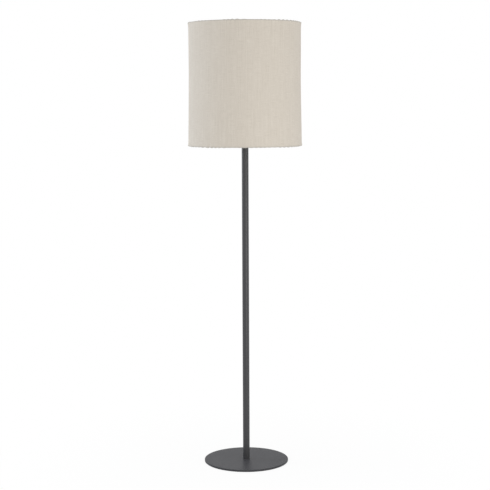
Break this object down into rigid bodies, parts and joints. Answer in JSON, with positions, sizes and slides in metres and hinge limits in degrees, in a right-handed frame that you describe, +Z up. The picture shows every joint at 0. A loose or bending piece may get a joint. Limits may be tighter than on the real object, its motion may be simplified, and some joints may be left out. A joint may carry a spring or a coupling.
{
  "type": "floor lamp",
  "caption": "Column floor lamp: thin round steel base, one straight round pole, screw-thread lamp holder and a tall fabric drum shade.",
  "frame": {"origin": "middle of the round base, at floor level", "axes": "+Z up along the pole; -Y is the front, as pictured; the lead's inlet is at the back, +Y"},
  "size_m": [0.4, 0.4, 1.56],
  "materials": {
    "base_steel": "satin",
    "pole_paint": "satin",
    "rubber": "matte",
    "zinc": "satin",
    "brass": "satin",
    "lead_sheath": "satin",
    "wire_brown": "satin",
    "wire_blue": "satin",
    "holder_plastic": "satin",
    "insulator": "matte",
    "knob_plastic": "gloss",
    "white_wire": "satin",
    "fabric": "matte",
    "liner": "matte",
    "bulb_metal": "satin",
    "bulb_glass_insulator": "gloss",
    "bulb_housing": "satin",
    "bulb_globe": "matte",
    "board": "satin",
    "chip": "satin",
    "board_green": "satin",
    "driver": "satin"
  },
  "bodies": {
    "stand": {"base_plate": "base_steel", "floor_pad": "rubber", "base_screw": "zinc", "foot_plug": "zinc", "lower_tube": "pole_paint", "lower_insert": "zinc", "joint_stud": "zinc", "upper_insert": "zinc", "upper_tube": "pole_paint", "top_plug": "pole_paint", "cord_grommet": "rubber", "inner_lead": "lead_sheath", "live_wire": "wire_brown", "neutral_wire": "wire_blue", "holder_nipple": "zinc", "lock_washer": "zinc", "nipple_nut": "zinc", "holder_cap": "holder_plastic", "grub_screw": "zinc", "insert_disc": "insulator", "terminals": "brass", "terminal_screws": "zinc", "centre_contact": "brass", "screw_shell": "brass", "holder_skirt": "holder_plastic", "switch_bush": "brass"},
    "switch": {"switch_shaft": "zinc", "switch_rotor": "knob_plastic", "switch_knob": "knob_plastic"},
    "shade": {"shade_cover": "fabric", "shade_liner": "liner", "top_ring": "white_wire", "bottom_ring": "white_wire", "spider_arms": "white_wire", "fitter_plate": "white_wire"},
    "collar_carrier": {"collar_washer": "holder_plastic"},
    "collar": {"shade_collar": "holder_plastic"},
    "bulb_carrier": {"bulb_tip": "bulb_metal"},
    "bulb": {"bulb_insulator": "bulb_glass_insulator", "bulb_cap": "bulb_metal", "bulb_housing": "bulb_housing", "bulb_globe": "bulb_globe", "led_board": "board", "led_chips": "chip", "driver_board": "board_green", "driver_parts": "driver"}
  },
  "joints": [
    {"name": "shade_turn", "type": "hinge", "parent": "stand", "child": "shade", "pos_m": [0, 0, 1.186], "axis": [0, 0, 1], "continuous": true},
    {"name": "switch_turn", "type": "hinge", "parent": "stand", "child": "switch", "pos_m": [0.02, 0, 1.169], "axis": [1, 0, 0], "continuous": true},
    {"name": "collar_rise", "type": "slide", "parent": "stand", "child": "collar_carrier", "axis": [0, 0, 1], "range_m": [0, 0.027]},
    {"name": "collar_turn", "type": "hinge", "parent": "collar_carrier", "child": "collar", "pos_m": [0, 0, 1.1885], "axis": [0, 0, 1], "range_deg": [0, 3241]},
    {"name": "bulb_rise", "type": "slide", "parent": "stand", "child": "bulb_carrier", "axis": [0, 0, 1], "range_m": [0, 0.01542]},
    {"name": "bulb_turn", "type": "hinge", "parent": "bulb_carrier", "child": "bulb", "pos_m": [0, 0, 1.1876], "axis": [0, 0, 1], "range_deg": [0, 1531]}
  ],
  "couplings": [
    {"joint": "collar_turn", "follows": "collar_rise", "rad_per_m": 2094.4},
    {"joint": "bulb_turn", "follows": "bulb_rise", "rad_per_m": 1731.4}
  ]
}
